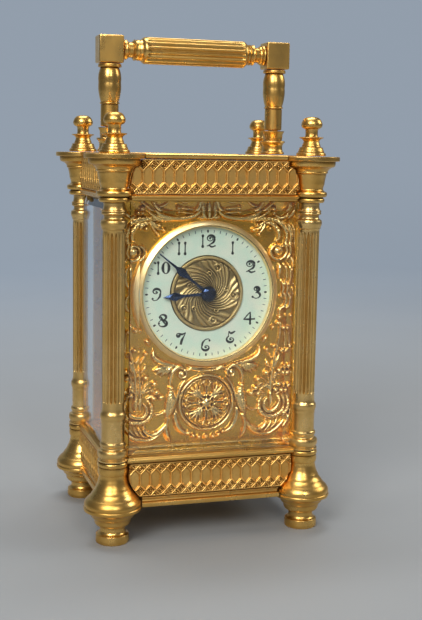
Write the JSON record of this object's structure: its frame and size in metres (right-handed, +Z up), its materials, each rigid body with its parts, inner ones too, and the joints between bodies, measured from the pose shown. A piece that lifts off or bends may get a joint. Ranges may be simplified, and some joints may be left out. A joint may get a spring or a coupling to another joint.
{
  "type": "carriage clock",
  "caption": "Glazed brass travelling clock with fluted corner columns, lattice friezes, an enamel chapter ring in a relief mask and a folding carrying handle",
  "frame": {"origin": "on the table under the middle of the case", "axes": "+Z up and the longest extent, the dial faces -Y, +X is to the right of someone who faces the dial"},
  "size_m": [0.098, 0.0816, 0.189],
  "materials": {
    "satin_brass": "satin gilt brass with drawn turning lines",
    "gilt_relief": "warm gilding over cast relief",
    "movement_brass": "brushed and lacquered",
    "polished_steel": "polished",
    "blued_steel": "heat blued and polished",
    "bevelled_glass": "clear, polished bevels",
    "white_enamel": "glossy fired enamel with black numerals"
  },
  "bodies": {
    "case": {"foot_front_left": "satin_brass", "foot_front_right": "satin_brass", "foot_back_left": "satin_brass", "foot_back_right": "satin_brass", "column_front_left": "satin_brass", "column_front_right": "satin_brass", "column_back_left": "satin_brass", "column_back_right": "satin_brass", "capital_front_left": "satin_brass", "capital_front_right": "satin_brass", "capital_back_left": "satin_brass", "capital_back_right": "satin_brass", "finial_front_left": "satin_brass", "finial_front_right": "satin_brass", "finial_back_left": "satin_brass", "finial_back_right": "satin_brass", "base_plate": "satin_brass", "base_sill": "satin_brass", "top_rail": "satin_brass", "top_frame": "satin_brass", "base_frieze_front": "gilt_relief", "base_frieze_back": "gilt_relief", "base_frieze_left": "gilt_relief", "base_frieze_right": "gilt_relief", "top_frieze_front": "gilt_relief", "top_frieze_back": "gilt_relief", "top_frieze_left": "gilt_relief", "top_frieze_right": "gilt_relief", "glass_front": "bevelled_glass", "glass_left": "bevelled_glass", "glass_right": "bevelled_glass", "glass_top": "bevelled_glass", "handle_base_left": "satin_brass", "handle_base_right": "satin_brass", "dial_mask": "gilt_relief", "dial_bezel": "gilt_relief", "dial_centre": "gilt_relief", "chapter_ring": "white_enamel", "movement_front_plate": "movement_brass", "movement_back_plate": "movement_brass", "escapement_platform": "movement_brass", "balance_cock": "movement_brass"},
    "handle": {"handle_leg_left": "satin_brass", "handle_leg_right": "satin_brass", "handle_block_left": "satin_brass", "handle_block_right": "satin_brass", "handle_grip": "satin_brass"},
    "back_door": {"back_door_frame": "satin_brass", "back_door_glass": "bevelled_glass", "back_door_knob": "satin_brass"},
    "centre_arbor": {"centre_wheel": "movement_brass", "minute_hand": "blued_steel"},
    "hour_pipe": {"hour_hand": "blued_steel"},
    "barrel": {"mainspring_barrel": "movement_brass"},
    "third_arbor": {"third_wheel": "movement_brass"},
    "contrate_arbor": {"contrate_wheel": "movement_brass"},
    "escape_arbor": {"escape_wheel": "polished_steel"},
    "lever": {"pallet_lever": "polished_steel"},
    "balance": {"balance_wheel": "movement_brass"},
    "winding": {"winding_arbor": "polished_steel"}
  },
  "joints": [
    {"name": "handle_fold", "type": "hinge", "parent": "case", "child": "handle", "pos_m": [0, 0, 0.1525], "axis": [-1, 0, 0], "range_deg": [0, 60]},
    {"name": "door_swing", "type": "hinge", "parent": "case", "child": "back_door", "pos_m": [-0.0299, 0.0305, 0.08], "axis": [0, 0, 1], "range_deg": [0, 110]},
    {"name": "minute_turn", "type": "hinge", "parent": "case", "child": "centre_arbor", "pos_m": [0, 0, 0.0924], "axis": [0, 1, 0], "continuous": true},
    {"name": "hour_turn", "type": "hinge", "parent": "case", "child": "hour_pipe", "pos_m": [0, 0, 0.0924], "axis": [0, 1, 0], "continuous": true},
    {"name": "barrel_turn", "type": "hinge", "parent": "case", "child": "barrel", "pos_m": [0, 0, 0.07014], "axis": [0, 1, 0], "continuous": true},
    {"name": "third_turn", "type": "hinge", "parent": "case", "child": "third_arbor", "pos_m": [0.007, 0, 0.10394], "axis": [0, 1, 0], "continuous": true},
    {"name": "contrate_turn", "type": "hinge", "parent": "case", "child": "contrate_arbor", "pos_m": [0, 0, 0.11194], "axis": [0, 1, 0], "continuous": true},
    {"name": "escape_turn", "type": "hinge", "parent": "case", "child": "escape_arbor", "pos_m": [0, 0.0062, 0.126], "axis": [0, 0, 1], "continuous": true},
    {"name": "lever_rock", "type": "hinge", "parent": "case", "child": "lever", "pos_m": [0, 0.0008, 0.128], "axis": [0, 0, 1], "range_deg": [-6, 6]},
    {"name": "balance_swing", "type": "hinge", "parent": "case", "child": "balance", "pos_m": [0, -0.005, 0.1315], "axis": [0, 0, 1], "range_deg": [-220, 220]},
    {"name": "winding_turn", "type": "hinge", "parent": "case", "child": "winding", "pos_m": [0, 0, 0.07014], "axis": [0, 1, 0], "range_deg": [0, 2160]}
  ],
  "couplings": [
    {"joint": "hour_turn", "follows": "minute_turn", "ratio": 0.083333},
    {"joint": "barrel_turn", "follows": "minute_turn", "ratio": -0.10417},
    {"joint": "third_turn", "follows": "minute_turn", "ratio": -8},
    {"joint": "contrate_turn", "follows": "minute_turn", "ratio": 60},
    {"joint": "escape_turn", "follows": "minute_turn", "ratio": 600}
  ]
}
